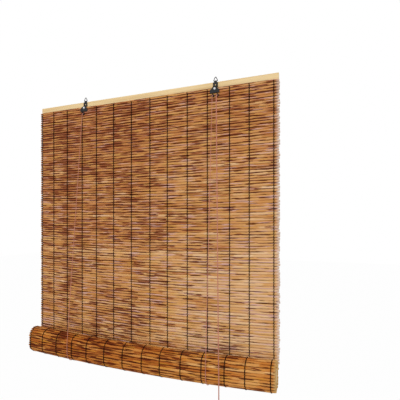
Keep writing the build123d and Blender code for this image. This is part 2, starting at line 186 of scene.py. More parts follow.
class Shade:
    """One material's node tree round a Principled shader."""

    def __init__(self, name: str) -> None:
        """Start a material with a bare Principled shader.

        Args:
            name: The material's name.
        """
        self.material = bpy.data.materials.new(name)
        self.material.use_nodes = True
        self.tree = self.material.node_tree
        self.surface = self.tree.nodes["Principled BSDF"]

    def node(
        self,
        kind: str,
        settings: Optional[dict[str, Setting]] = None,
        inputs: Optional[dict[Union[int, str], Feed]] = None,
        output: Union[int, str] = 0,
    ) -> Value:
        """Add any node.

        Args:
            kind: The node's type.
            settings: Its properties, set before its sockets; stops holds a ramp's places and colours.
            inputs: Links or constants by socket index or name.
            output: The output to return.

        Returns:
            The chosen output.
        """
        made = self.tree.nodes.new(kind)
        for name, setting in (settings or {}).items():
            if name == "stops":
                self._stops(made.color_ramp, setting)
            else:
                setattr(made, name, setting)
        for key, item in (inputs or {}).items():
            feed(made.inputs[key], item)
        return Value(self.tree, made.outputs[output])

    @staticmethod
    def _stops(ramp: ColorRamp, stops: tuple[tuple[float, Colour], ...]) -> None:
        """Set a ramp's places and colours.

        Args:
            ramp: The ramp of a new node.
            stops: Place and colour of each stop.
        """
        while len(ramp.elements) < len(stops):
            ramp.elements.new(0.5)
        for element, (place, colour) in zip(ramp.elements, stops):
            element.position = place
            element.color = colour

    def place(self) -> Value:
        """Object coordinates, which are the frame's metres."""
        return self.node("ShaderNodeTexCoord", output="Object")

    def stretched(self, scale: Point) -> Value:
        """Object coordinates scaled by axis."""
        return self.node("ShaderNodeMapping", inputs={"Vector": self.place(), "Scale": scale})

    def attribute(self, name: str) -> Value:
        """A number that the mesh carries."""
        return self.node("ShaderNodeAttribute", {"attribute_name": name}, output="Fac")

    def noise(self, vector: Value, scale: float = 1.0, detail: float = 2.0) -> Value:
        """Cloudy values around a half."""
        inputs = {"Vector": vector, "Scale": scale, "Detail": detail}
        return self.node("ShaderNodeTexNoise", inputs=inputs)

    def band(self, value: Value, low: float, high: float) -> Value:
        """Smooth step from 0 at low to 1 at high."""
        settings = {"interpolation_type": "SMOOTHSTEP"}
        return self.node("ShaderNodeMapRange", settings, {0: value, 1: low, 2: high})

    def mix(self, share: Feed, low: Feed, high: Feed, how: str = "MIX") -> Value:
        """Mix two colours.

        Args:
            share: How much of the second colour.
            low: First colour.
            high: Second colour.
            how: The Mix node's blend type.

        Returns:
            The mixed colour.
        """
        settings = {"data_type": "RGBA", "blend_type": how}
        return self.node("ShaderNodeMix", settings, {0: share, 6: low, 7: high}, 2)

    def ramp(self, value: Value, stops: tuple[tuple[float, Colour], ...]) -> Value:
        """Colour from a ramp."""
        return self.node("ShaderNodeValToRGB", {"stops": stops}, {0: value}, "Color")

    def bump(self, height: Value, distance: float) -> None:
        """Raise the surface by a height value."""
        raised = self.node("ShaderNodeBump", inputs={"Distance": distance, "Height": height})
        feed(self.surface.inputs["Normal"], raised)

    def finish(self, **sockets: Feed) -> Material:
        """Feed the shader's sockets, named with underscores for spaces.

        Args:
            sockets: Value of each socket.

        Returns:
            The material.
        """
        for name, item in sockets.items():
            feed(self.surface.inputs[name.replace("_", " ")], item)
        return self.material


@dataclass(frozen=True)
class ReedFinish:
    """Split bamboo: every reed its own tone, dark dashes that are partly stains and partly painted shade
    where reeds meet, fine fibre along them, with painted light and a painted sheen.

    Clouds, fibres and frays are counts to a metre along each axis. A grid is a count to a metre of reed,
    and a count of rows that keeps the patterns of reeds of different tone apart. Shifts are how far frays
    move a pattern along and across the reed. A span runs from where a colour starts to where it is full,
    and a share is how much of it then shows.
    """

    name: str
    tones: tuple[tuple[float, Colour], ...]
    rust: Colour
    dash: Colour
    plum: Colour
    dash_from: float
    tip: Colour
    # Painted sheen: a pale streak colour along the reeds, standing in for their sheen.
    painted_sheen: Colour
    painted_sheen_share: float
    gold: Colour
    # Painted light: the reed is painted paler towards the lit right side and towards the foot.
    painted_light_right: float
    painted_light_down: float
    painted_light_span: Pair = (-0.15, 0.42)
    painted_light_start: float = -0.035
    painted_light_length: float = 0.83
    painted_light_at_head: float = 0.4
    clouds: Point = (5.0, 9.0, 11.0)
    fibres: Point = (14.0, 700.0, 700.0)
    frays: Point = (40.0, 1300.0, 1300.0)
    patch_grid: Pair = (14.0, 61.0)
    patch_shifts: Pair = (0.6, 0.3)
    gleam_grid: Pair = (15.0, 251.0)
    reed_tone: float = 0.3
    patch_tone: float = 1.2
    # How far the painted light lightens the tone.
    painted_light_tone: float = 0.5
    tone_start: float = 0.39
    # Where the painted sheen streaks start and end, and how they grow with the painted light.
    painted_sheen_span: Pair = (0.56, 0.66)
    painted_sheen_start: float = 0.5
    gold_start: float = 0.46
    gold_blur: float = 0.12
    gold_share: float = 0.55
    fibre_tint: Colour = (0.55, 0.42, 0.34, 1.0)
    fibre_span: Pair = (0.45, 0.8)
    fibre_share: float = 0.3
    fibre_height: float = 0.0004
    dash_grid: Pair = (30.0, 173.0)
    dash_shifts: Pair = (0.9, 0.7)
    dash_slant: float = 1.4
    # Painted shade: dashes come more often at the reed's edges, where reeds meet.
    edge_dash: float = 0.15
    cloud_dash: float = 0.22
    fibre_dash: float = 0.16
    # Fewer dashes where the painted light is strong.
    painted_light_dash: float = 0.12
    dash_blur: float = 0.03
    dash_share: float = 0.92
    plum_span: Pair = (0.48, 0.60)
    dark_span: Pair = (0.1, 0.6)
    tip_span: Pair = (0.440, 0.453)
    tip_share: float = 0.75
    roughness: float = 0.6
    fibre_roughness: float = 0.2
    gloss: float = 0.1

    def painted_light(self, shade: Shade, across: Value, height: Value) -> Value:
        """Painted light: how much paler the reed is painted towards the lit right side and towards the
        foot.

        Args:
            shade: The material's nodes.
            across: Object X.
            height: Object Z.

        Returns:
            Value from about 0 to 1.
        """
        right = shade.band(across, *self.painted_light_span)
        down = shade.band(self.painted_light_start - height, 0.0, self.painted_light_length)
        reach = down * (1 - self.painted_light_at_head) + self.painted_light_at_head
        return right * reach * self.painted_light_right + down * self.painted_light_down

    def material(self) -> Material:
        """Build the material.

        Returns:
            The reed material.
        """
        shade = Shade(self.name)
        tone = shade.attribute("tone")
        edge = shade.attribute("edge")
        across = shade.node("ShaderNodeSeparateXYZ", inputs={0: shade.place()}, output="X")
        # Painted light, paler to the right and towards the foot; it also lightens the tone and thins the
        # dashes.
        painted_light = self.painted_light(shade, across, across.other("Z"))
        cloud = shade.noise(shade.stretched(self.clouds))
        fibre = shade.noise(shade.stretched(self.fibres))
        fray = shade.noise(shade.stretched(self.frays), detail=3.0)
        # Dark dashes, partly stains on the reeds and partly painted shade of the gaps between them.
        along, row = self.on_grid(self.dash_grid, across, tone)
        dash = self.lengths(shade, along, row + edge * self.dash_slant, fray, self.dash_shifts)
        dash = dash + abs(edge) * self.edge_dash + cloud * self.cloud_dash
        dash = dash + fibre * self.fibre_dash - painted_light * self.painted_light_dash
        dash = shade.band(dash, self.dash_from, self.dash_from + self.dash_blur)
        along, row = self.on_grid(self.patch_grid, across, tone)
        patch = self.lengths(shade, along, row, fray, self.patch_shifts)
        along, row = self.on_grid(self.gleam_grid, across, tone)
        gleam = self.streaks(shade, along, row + edge)
        ground = tone * self.reed_tone + patch * self.patch_tone + painted_light * self.painted_light_tone
        colour = shade.ramp(ground - self.tone_start, self.tones)
        # Painted sheen: pale streaks along the reeds, stronger where the painted light is.
        painted_sheen = shade.band(gleam, *self.painted_sheen_span) * (painted_light + self.painted_sheen_start) * self.painted_sheen_share
        colour = shade.mix(painted_sheen, colour, self.painted_sheen)
        gold = shade.band(self.gold_start - gleam, 0.0, self.gold_blur) * self.gold_share
        colour = shade.mix(gold, colour, self.gold)
        grain = shade.band(fibre, *self.fibre_span) * self.fibre_share
        colour = shade.mix(grain, colour, self.fibre_tint, "MULTIPLY")
        # Dash colour: rust-red stain in the middle of a reed, darker towards its edges as painted shade
        # where reeds meet.
        dark = shade.mix(shade.band(gleam, *self.plum_span), self.dash, self.plum)
        dark = shade.mix(shade.band(abs(edge), *self.dark_span), self.rust, dark)
        colour = shade.mix(dash * self.dash_share, colour, dark)
        colour = shade.mix(shade.band(across, *self.tip_span) * self.tip_share, colour, self.tip)
        shade.bump(fibre, self.fibre_height)
        roughness = self.roughness + fibre * self.fibre_roughness
        return shade.finish(Base_Color=colour, Roughness=roughness, Specular_IOR_Level=self.gloss)

    @staticmethod
    def on_grid(grid: Pair, across: Value, tone: Value) -> tuple[Value, Value]:
        """Place along a reed and the reed's own row, on a grid."""
        return across * grid[0], tone * grid[1]

    @staticmethod
    def lengths(shade: Shade, along: Value, row: Value, fray: Value, shifts: Pair) -> Value:
        """Noise in steps: lengths of one reed, each with a value of its own and a frayed outline.

        Args:
            shade: The material's nodes.
            along: Place along the reed, in lengths.
            row: A number of the reed's own.
            fray: Fine noise.
            shifts: How far the fray moves the outline along and across the reed.

        Returns:
            Noise about 0.5.
        """
        frayed = {0: along + fray * shifts[0], 1: row + fray * shifts[1]}
        at = shade.node("ShaderNodeCombineXYZ", inputs=frayed)
        inputs = {"Vector": at, "Scale": 1.0}
        cell = shade.node("ShaderNodeTexVoronoi", {"voronoi_dimensions": "2D"}, inputs, "Position")
        return shade.noise(cell, scale=1.6, detail=1.5)

    @staticmethod
    def streaks(shade: Shade, along: Value, row: Value) -> Value:
        """Noise that runs along each reed and starts afresh on the next one.

        Args:
            shade: The material's nodes.
            along: Place along the reed, in streaks.
            row: A number of the reed's own.

        Returns:
            Noise about 0.5.
        """
        at = shade.node("ShaderNodeCombineXYZ", inputs={0: along, 1: row})
        return shade.noise(at, detail=1.5)


@dataclass(frozen=True)
class TimberFinish:
    """Planed or turned timber with grain along one axis."""

    name: str
    pale: Colour
    dark: Colour
    grain: Point
    roughness: float
    coat: float
    clouds: float = 6.0
    cloud_share: float = 0.25
    ring_span: Pair = (0.38, 0.66)
    pores: float = 4.3
    pore_span: Pair = (0.58, 0.72)
    pore_share: float = 0.3
    pore_height: float = 0.4
    pore_roughness: float = 0.15
    grain_height: float = 0.0003

    def material(self) -> Material:
        """Build the material.

        Returns:
            The timber material.
        """
        shade = Shade(self.name)
        vector = shade.stretched(self.grain)
        rings = shade.noise(vector, detail=5.0)
        pores = shade.noise(vector, self.pores)
        cloud = shade.noise(shade.place(), self.clouds)
        figure = rings * (1 - self.cloud_share) + cloud * self.cloud_share
        colour = shade.mix(shade.band(figure, *self.ring_span), self.pale, self.dark)
        colour = shade.mix(shade.band(pores, *self.pore_span) * self.pore_share, colour, self.dark)
        shade.bump(rings + pores * self.pore_height, self.grain_height)
        roughness = self.roughness + pores * self.pore_roughness
        return shade.finish(Base_Color=colour, Roughness=roughness, Coat_Weight=self.coat)


@dataclass(frozen=True)
class TwistFinish:
    """Twisted thread or cord: dull fibre, with soil in patches."""

    name: str
    colour: Colour
    shadow: Colour
    fuzz: float
    gloss: float
    sheen: float
    soil: float = 23.0
    soil_share: float = 0.3
    pale_span: Pair = (0.35, 0.65)
    roughness: float = 0.8
    fuzz_roughness: float = 0.15
    fuzz_height: float = 0.0003

    def material(self) -> Material:
        """Build the material.

        Returns:
            The thread or cord material.
        """
        shade = Shade(self.name)
        fuzz = shade.noise(shade.place(), self.fuzz, detail=3.0)
        soil = shade.noise(shade.place(), self.soil)
        worn = fuzz * (1 - self.soil_share) + soil * self.soil_share
        colour = shade.mix(shade.band(worn, *self.pale_span), self.shadow, self.colour)
        shade.bump(fuzz, self.fuzz_height)
        roughness = self.roughness + fuzz * self.fuzz_roughness
        sockets = {"Specular_IOR_Level": self.gloss, "Sheen_Weight": self.sheen}
        return shade.finish(Base_Color=colour, Roughness=roughness, **sockets)


@dataclass(frozen=True)
class MetalFinish:
    """Lacquered or plated metal with a hammered skin."""

    name: str
    colour: Colour
    worn: Colour
    metallic: float
    roughness: float
    dimple: float
    gloss: float
    dimples: float = 420.0
    scuffs: float = 160.0
    scuff_span: Pair = (0.55, 0.72)
    scuff_share: float = 0.6
    scuff_roughness: float = 0.2

    def material(self) -> Material:
        """Build the material.

        Returns:
            The metal material.
        """
        shade = Shade(self.name)
        inputs = {"Vector": shade.place(), "Scale": self.dimples}
        hammer = shade.node("ShaderNodeTexVoronoi", {"feature": "SMOOTH_F1"}, inputs)
        scuff = shade.noise(shade.place(), self.scuffs, detail=4.0)
        worn = shade.band(scuff, *self.scuff_span) * self.scuff_share
        colour = shade.mix(worn, self.colour, self.worn)
        shade.bump(hammer, self.dimple)
        roughness = self.roughness + scuff * self.scuff_roughness
        sockets = {"Metallic": self.metallic, "Specular_IOR_Level": self.gloss}
        return shade.finish(Base_Color=colour, Roughness=roughness, **sockets)


PANEL_REED = ReedFinish(
    name="sunned bamboo reed",
    tones=(
        (0.0, (0.270, 0.068, 0.022, 1.0)),
        (0.25, (0.420, 0.142, 0.042, 1.0)),
        (0.5, (0.575, 0.250, 0.076, 1.0)),
        (0.75, (0.690, 0.375, 0.150, 1.0)),
        (1.0, (0.790, 0.520, 0.290, 1.0)),
    ),
    rust=(0.275, 0.072, 0.024, 1.0),
    dash=(0.105, 0.013, 0.002, 1.0),
    plum=(0.115, 0.024, 0.013, 1.0),
    dash_from=0.735,
    tip=(0.790, 0.600, 0.480, 1.0),
    # Painted sheen along the reeds.
    painted_sheen=(0.640, 0.380, 0.310, 1.0),
    painted_sheen_share=1.0,
    gold=(0.640, 0.345, 0.075, 1.0),
    # Painted light: paler towards the lit right side and towards the foot.
    painted_light_right=0.65,
    painted_light_down=0.46,
)
ROLL_REED = ReedFinish(
    name="unfaded bamboo reed",
    tones=(
        (0.0, (0.290, 0.062, 0.006, 1.0)),
        (0.25, (0.420, 0.112, 0.014, 1.0)),
        (0.5, (0.565, 0.198, 0.034, 1.0)),
        (0.75, (0.700, 0.330, 0.090, 1.0)),
        (1.0, (0.800, 0.480, 0.200, 1.0)),
    ),
    rust=(0.150, 0.020, 0.0015, 1.0),
    dash=(0.070, 0.005, 0.0005, 1.0),
    plum=(0.095, 0.010, 0.001, 1.0),
    dash_from=0.716,
    tip=(0.760, 0.500, 0.190, 1.0),
    # Painted sheen along the reeds.
    painted_sheen=(0.520, 0.200, 0.050, 1.0),
    painted_sheen_share=0.3,
    gold=(0.640, 0.300, 0.030, 1.0),
    # Painted light: paler towards the lit right side and towards the foot.
    painted_light_right=0.44,
    painted_light_down=0.14,
)
STRAW_TIMBER = TimberFinish(
    name="straw timber",
    pale=(0.80, 0.60, 0.31, 1.0),
    dark=(0.68, 0.46, 0.20, 1.0),
    grain=(3.0, 160.0, 160.0),
    roughness=0.55,
    coat=0.0,
)
TURNED_TIMBER = TimberFinish(
    name="turned timber",
    pale=(0.46, 0.22, 0.085, 1.0),
    dark=(0.27, 0.11, 0.04, 1.0),
    grain=(260.0, 260.0, 30.0),
    roughness=0.3,
    coat=0.4,
)
DARK_THREAD = TwistFinish(
    name="dark thread",
    colour=(0.018, 0.007, 0.004, 1.0),
    shadow=(0.005, 0.003, 0.002, 1.0),
    fuzz=2200.0,
    gloss=0.05,
    sheen=0.0,
)
SALMON_CORD = TwistFinish(
    name="salmon cord",
    colour=(0.66, 0.28, 0.19, 1.0),
    shadow=(0.42, 0.16, 0.11, 1.0),
    fuzz=1800.0,
    gloss=0.15,
    sheen=0.1,
)
BLACK_SHEET = MetalFinish(
    name="black lacquered sheet",
    colour=(0.007, 0.007, 0.008, 1.0),
    worn=(0.020, 0.020, 0.022, 1.0),
    metallic=0.0,
    roughness=0.36,
    dimple=0.0004,
    gloss=0.2,
)
BLACK_WIRE = MetalFinish(
    name="black lacquered wire",
    colour=(0.005, 0.005, 0.006, 1.0),
    worn=(0.014, 0.014, 0.015, 1.0),
    metallic=0.0,
    roughness=0.34,
    dimple=0.0001,
    gloss=0.2,
)
BRIGHT_ZINC = MetalFinish(
    name="bright zinc",
    colour=(0.50, 0.50, 0.50, 1.0),
    worn=(0.34, 0.34, 0.35, 1.0),
    metallic=1.0,
    roughness=0.26,
    dimple=0.0001,
    gloss=0.5,
)


def finished(bm: BMesh, name: str, material: Material) -> Object:
    """Turn a bmesh into a named object with its material.

    Args:
        bm: The mesh, which is freed.
        name: The piece's name.
        material: Its material.

    Returns:
        The object, at the origin.
    """
    mesh = bpy.data.meshes.new(name)
    bm.to_mesh(mesh)
    bm.free()
    mesh.materials.append(material)
    piece = bpy.data.objects.new(name, mesh)
    bpy.context.scene.collection.objects.link(piece)
    LOG.info("%s: %d faces", name, len(mesh.polygons))
    return piece


def standing_for(piece: Object, node: str) -> Object:
    """Hide the CAD node that a new piece stands in for.

    Args:
        piece: The new piece.
        node: The node's name.

    Returns:
        The piece.
    """
    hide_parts(node)
    return piece


def join(bm: BMesh, other: BMesh) -> None:
    """Add another mesh.

    Args:
        bm: The mesh that grows.
        other: The mesh to add, which is freed.
    """
    mesh = bpy.data.meshes.new("part")
    other.to_mesh(mesh)
    other.free()
    bm.from_mesh(mesh)
    bpy.data.meshes.remove(mesh)


def smooth(bm: BMesh) -> None:
    """Shade every face smooth."""
    for face in bm.faces:
        face.smooth = True


def spline_mesh(
    routes: list[list[Point]], thick: float, steps: int, closed: bool = False
) -> Mesh:
    """Mesh of smooth NURBS lines, round if they have a thickness.

    Args:
        routes: Control points of each line.
        thick: Diameter, or 0 for bare lines.
        steps: Points to each control point.
        closed: Whether the lines close on themselves.

    Returns:
        The mesh.
    """
    curve = bpy.data.curves.new("route", "CURVE")
    curve.dimensions = "3D"
    curve.bevel_depth = thick / 2
    curve.bevel_resolution = 1
    curve.use_fill_caps = True
    for route in routes:
        line = curve.splines.new("NURBS")
        line.points.add(len(route) - 1)
        for point, place in zip(line.points, route):
            point.co = (*place, 1.0)
        line.order_u = 3
        line.use_endpoint_u = not closed
        line.use_cyclic_u = closed
        line.resolution_u = steps
    holder = bpy.data.objects.new("route", curve)
    mesh = bpy.data.meshes.new_from_object(holder)
    bpy.data.objects.remove(holder)
    bpy.data.curves.remove(curve)
    return mesh


def smooth_line(route: Iterable[Point], steps: int) -> list[Vector]:
    """Points along a route's smooth line.

    Args:
        route: Control points.
        steps: Points to each control point.

    Returns:
        The points in order.
    """
    bare = spline_mesh([list(route)], 0.0, steps)
    return [vert.co.copy() for vert in bare.vertices]


@dataclass(frozen=True)
class Twist:
    """Strands laid round a cord's line; their place and thickness are shares of the cord's diameter."""

    diameter: float
    strands: int = 3
    lay_length: float = 0.011
    strand_place: float = 0.25
    strand_thick: float = 0.54
    least_across: float = 1e-6

    def strand_routes(self, line: list[Vector]) -> list[list[Point]]:
        """Control points of each strand.

        Args:
            line: Points along the cord's smooth line.

        Returns:
            One list of points for each strand.
        """
        routes: list[list[Point]] = [[] for _ in range(self.strands)]
        run = 0.0
        side = Vector((1.0, 0.0, 0.0))
        for index, here in enumerate(line):
            after = line[min(index + 1, len(line) - 1)]
            ahead = after - line[max(index - 1, 0)]
            across = side - ahead * (side.dot(ahead) / ahead.length_squared)
            if across.length > self.least_across:
                side = across.normalized()
            up = ahead.normalized().cross(side)
            for strand, route in enumerate(routes):
                angle = 2 * math.pi * (run / self.lay_length + strand / self.strands)
                out = side * math.cos(angle) + up * math.sin(angle)
                route.append(tuple(here + out * self.diameter * self.strand_place))
            run += (after - here).length
        return routes

    def strand_mesh(self, routes: list[list[Point]]) -> Mesh:
        """Mesh of round strands along their control points."""
        return spline_mesh(routes, self.diameter * self.strand_thick, 1)

    def laid(self, routes: list[list[Point]], steps: int) -> BMesh:
        """Mesh of twisted strands along smooth lines.

        Args:
            routes: Control points of each cord.
            steps: Points of the smooth line to each control point.

        Returns:
            The mesh.
        """
        bm = bmesh.new()
        for route in routes:
            bm.from_mesh(self.strand_mesh(self.strand_routes(smooth_line(route, steps))))
        smooth(bm)
        return bm


@dataclass(frozen=True)
class Knot:
    """Overhand knot; reach and thickness are shares of its size, and depth stretches it front to back."""

    size: float
    reach: float = 0.12
    depth: float = 1.2
    thick: float = 0.34
    points: int = 18
    steps: int = 4

    def mesh(self, middle: Vector) -> Mesh:
        """Mesh of the knot round a point.

        Args:
            middle: The knot's middle.

        Returns:
            The mesh.
        """
        loop = []
        for step in range(self.points):
            turn = 2 * math.pi * step / self.points
            x = math.sin(turn) + 2 * math.sin(2 * turn)
            z = math.cos(turn) - 2 * math.cos(2 * turn)
            out = Vector((x, -self.depth * math.sin(3 * turn), z))
            loop.append(tuple(middle + out * self.size * self.reach))
        return spline_mesh([loop], self.size * self.thick, self.steps, closed=True)


@dataclass(frozen=True)
class Sag:
    """Gentle hang of the roll between its ends, shared out up the panel."""

    depth: float
    half: float
    top: float
    bottom: float

    def drop(self, x: float, z: float) -> float:
        """How far a point hangs below its straight place.

        Args:
            x: Place across the width.
            z: Height.

        Returns:
            The drop in metres.
        """
        along = max(0.0, 1.0 - (x / self.half) ** 2)
        down = min(max((self.top - z) / (self.top - self.bottom), 0.0), 1.0)
        return self.depth * along * down

    def settle(self, verts: Iterable[BMVert]) -> None:
        """Lower vertices by their drop."""
        for vert in verts:
            vert.co.z -= self.drop(vert.co.x, vert.co.z)


@dataclass(frozen=True)
class Reed:
    """One split reed, laid across the width, flatter through the mat than along it.

    Swells and bows are waves to a metre, and the spreads set the waves of reeds of different tone apart.
    """

    middle: Pair
    along: Pair
    radius: float
    depth_share: float
    ends: Pair
    tone: float
    bow: float
    bows: float = 4.0
    bow_spread: float = 53.0
    swell: float = 0.07
    swells: float = 11.0
    swell_spread: float = 97.0
    knuckle: float = 0.10
    knuckle_length: float = 0.006
    knuckle_spread: float = 7.31
    taper: float = 0.26
    taper_length: float = 0.011
    sides: int = 8
    cuts: int = 22

    def laid(self) -> BMesh:
        """Build the reed, bowed and knuckled along its length.

        Returns:
            The reed's mesh; each point holds the reed's tone and its place between the reed's edges.
        """
        low, high = self.ends
        bm = bmesh.new()
        tone = bm.verts.layers.float.new("tone")
        edge = bm.verts.layers.float.new("edge")
        place = Matrix.Translation(((low + high) / 2, 0, 0)) @ Matrix.Rotation(math.pi / 2, 4, "Y")
        bmesh.ops.create_cone(
            bm, cap_ends=True, segments=self.sides, radius1=self.radius, radius2=self.radius,
            depth=high - low, matrix=place,
        )
        lengthwise = [line for line in bm.edges if line.calc_length() > (high - low) / 2]
        bmesh.ops.subdivide_edges(bm, edges=lengthwise, cuts=self.cuts, use_grid_fill=True)
        for end in (low + self.taper_length, high - self.taper_length):
            whole = [*bm.verts, *bm.edges, *bm.faces]
            bmesh.ops.bisect_plane(bm, geom=whole, plane_co=(end, 0, 0), plane_no=(1, 0, 0))
        knuckle_x = low + (high - low) * ((self.tone * self.knuckle_spread) % 1.0)
        for vert in bm.verts:
            vert[tone] = self.tone
            vert[edge] = vert.co.z / self.radius
            self._shape(vert, knuckle_x)
        for face in bm.faces:
            face.smooth = len(face.verts) == 4
        return bm

    def _shape(self, vert: BMVert, knuckle_x: float) -> None:
        """Flatten, swell, bow and place the reed at one vertex.

        Args:
            vert: A vertex of the round, straight reed at the origin.
            knuckle_x: Place of the reed's knuckle across the width.
        """
        x = vert.co.x
        wave = Vector((x * self.swells, self.tone * self.swell_spread, 0.0))
        swell = 1.0 + self.swell * noise.noise(wave)
        swell += self.knuckle * math.exp(-(((x - knuckle_x) / self.knuckle_length) ** 2))
        near = min(x - self.ends[0], self.ends[1] - x)
        swell -= self.taper * max(0.0, 1.0 - near / self.taper_length)
        shift = self.bow * noise.noise(Vector((x * self.bows, 0.0, self.tone * self.bow_spread)))
        depth = vert.co.y * swell * self.depth_share
        width = vert.co.z * swell + shift
        step_y, step_z = self.along
        vert.co.y = self.middle[0] + width * step_y + depth * step_z
        vert.co.z = self.middle[1] + width * step_z - depth * step_y


@dataclass(frozen=True)
class Spiral:
    """Oval spiral that the mat's middle follows in the roll; its stride is a share of the reeds' pitch."""

    y: float
    z: float
    radius: float = 0.030273
    straight: float = 0.033
    pitch: float = 0.008015
    turns: float = 2.7
    stride: float = 0.01

    def turn_length(self, index: int) -> float:
        """Length of mat in one turn, counted inwards."""
        return 2 * self.straight + 2 * math.pi * (self.radius - self.pitch * (index + 0.5))

    def length(self) -> float:
        """Length of mat in the roll.

        Returns:
            The length of the whole turns and the last part of one.
        """
        whole = int(self.turns)
        turns = sum(self.turn_length(index) for index in range(whole))
        return turns + (self.turns - whole) * self.turn_length(whole)

    def point(self, run: float) -> Pair:
        """Place of the mat's middle, a run of mat in from the panel.

        Args:
            run: Length of mat from where the panel joins the roll.

        Returns:
            Y and Z of the place.
        """
        index = 0
        while run > self.turn_length(index):
            run -= self.turn_length(index)
            index += 1
        turn = self.turn_length(index)
        reach = self.radius - self.pitch * (index + run / turn)
        side = 1
        if run > turn / 2:
            run -= turn / 2
            side = -1
        if run <= self.straight:
            return self.y + side * reach, self.z + side * (self.straight / 2 - run)
        angle = math.pi * (run - self.straight) / (turn / 2 - self.straight)
        along = self.straight / 2 + reach * math.sin(angle)
        return self.y + side * reach * math.cos(angle), self.z - side * along

    def reeds(self, pitch: float) -> list[Pair]:
        """Middles of the reeds from the panel inwards.

        Args:
            pitch: Straight distance from one reed to the next.

        Returns:
            Y and Z of each middle.
        """
        middles = []
        run = 0.0
        while run < self.length():
            here = Vector(self.point(run))
            middles.append(tuple(here))
            while (Vector(self.point(run)) - here).length < pitch:
                run += pitch * self.stride
        return middles


@dataclass
class ReedWork:
    """Everything made of reed and thread: the hanging panel and the roll under it.

    A thread's sway, rise and way forward are shares of its thickness, and the roll's dip is a share of the
    crest.
    """

    pitch: float = 0.0084
    count: int = 99
    radius: float = 0.0047
    girths: Pair = (0.95, 1.04)
    depth_share: float = 0.80
    crest: float = 0.00383
    ragged: float = 0.001
    comb: Pair = (0.002, 0.005)
    panel_bow: float = 0.0008
    roll_bow: float = 0.0003
    thread: float = 0.0024
    thread_sway: float = 0.45
    thread_forward: float = 0.4
    thread_steps: int = 2
    roll_thread: float = 0.0020
    roll_thread_sway: float = 0.4
    roll_thread_rise: float = 0.4
    roll_dip: float = 0.75
    wound_share: float = 0.88
    thread_shares: tuple[float, ...] = (
        0.010, 0.072, 0.143, 0.219, 0.289, 0.370, 0.450,
        0.530, 0.602, 0.681, 0.757, 0.837, 0.905, 0.986,
    )
    sag_depth: float = 0.012
    seed: int = 41

    def __post_init__(self) -> None:
        """Read the panel's and the roll's places from the frame."""
        low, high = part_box("reed_mat")
        axis = JOINTS["roll_turn"]["pos_m"]
        self.half = high.x
        self.panel_y = (low.y + high.y) / 2
        self.top = high.z
        self.spiral = Spiral(axis[1], axis[2])
        self.sag = Sag(self.sag_depth, self.half, self.top, low.z)
        self.lift = JOINTS["roll_lift"]["range_m"][1]
        self.chance = random.Random(self.seed)

    def reed(self, middle: Pair, along: Pair, bow: float, right: Pair) -> Reed:
        """One reed of random girth, tone and ragged ends.

        Args:
            middle: Y and Z of its middle.
            along: Unit step from reed to reed there.
            bow: How far it bows off straight.
            right: Least and most that it stands past the right edge.

        Returns:
            The reed.
        """
        low = -self.half + self.chance.uniform(-self.ragged, self.ragged)
        high = self.half + self.chance.uniform(*right)
        radius = self.radius * self.chance.uniform(*self.girths)
        return Reed(middle, along, radius, self.depth_share, (low, high), self.chance.random(), bow)

    def panel_reeds(self) -> list[Pair]:
        """Middles of the panel's reeds from the head down."""
        first = self.top - self.crest
        return [(self.panel_y, first - index * self.pitch) for index in range(self.count)]

    def matting(
        self, name: str, middles: list[Pair], bow: float, right: Pair, finish: ReedFinish
    ) -> Object:
        """Lay reeds at their middles.

        Args:
            name: The piece's name.
            middles: Y and Z of each reed.
            bow: How far reeds bow.
            right: Least and most that they stand past the right edge.
            finish: Their finish.

        Returns:
            The piece.
        """
        bm = bmesh.new()
        for layer in ("tone", "edge"):
            bm.verts.layers.float.new(layer)
        for index, middle in enumerate(middles):
            before = Vector(middles[max(index - 1, 0)])
            after = Vector(middles[min(index + 1, len(middles) - 1)])
            along = tuple((after - before).normalized())
            join(bm, self.reed(middle, along, bow, right).laid())
        self.sag.settle(bm.verts)
        return finished(bm, name, finish.material())

    def thread_places(self) -> list[float]:
        """X of each warp thread."""
        return [self.half * (2 * share - 1) for share in self.thread_shares]

    def twined(self, x: float, phase: int) -> list[Point]:
        """Route of one panel strand: before a reed, through the gap, behind the next.

        Args:
            x: Place across the width.
            phase: 0 or 1, which face it starts on.

        Returns:
            Control points.
        """
        reach = (self.crest + self.thread / 2) / CREST_REACHED
        route = []
        for index, (y, z) in enumerate(self.panel_reeds()):
            face = 1 if (index + phase) % 2 else -1
            aside = self.thread * self.thread_sway * face
            route.append((x, y + face * reach, z))
            route.append((x + aside, y - self.thread * self.thread_forward, z - self.pitch / 2))
        return route

    def wound(self, x: float, aside: float) -> list[Point]:
        """Route of one strand over the outermost turn of the roll.

        Args:
            x: Place across the width.
            aside: Sway to each side from reed to reed.

        Returns:
            Control points.
        """
        middles = self.spiral.reeds(self.pitch)
        stops = int(self.spiral.turn_length(0) * self.wound_share / self.pitch)
        hub = Vector((self.spiral.y, self.spiral.z))
        route = []
        for index in range(1, stops):
            here = Vector(middles[index])
            ahead = Vector(middles[index + 1])
            out = (ahead - Vector(middles[index - 1])).orthogonal().normalized()
            if out.dot(here - hub) < 0:
                out.negate()
            crest = here + out * (self.crest + self.roll_thread * self.roll_thread_rise)
            dip = (here + ahead) / 2 + out * (self.crest * self.roll_dip)
            route.append((x + aside, *crest))
            aside = -aside
            route.append((x, *dip))
        return route

    def threads(self, name: str, routes: list[list[Point]], thick: float) -> Object:
        """Dark threads along their routes.

        Args:
            name: The piece's name.
            routes: Control points of each strand.
            thick: Diameter of a strand.

        Returns:
            The piece.
        """
        bm = bmesh.new()
        bm.from_mesh(spline_mesh(routes, thick, self.thread_steps))
        self.sag.settle(bm.verts)
        smooth(bm)
        return finished(bm, name, DARK_THREAD.material())

    def build(self) -> None:
        """Build the panel and the roll, each with its threads."""
        self.build_panel()
        self.build_roll()

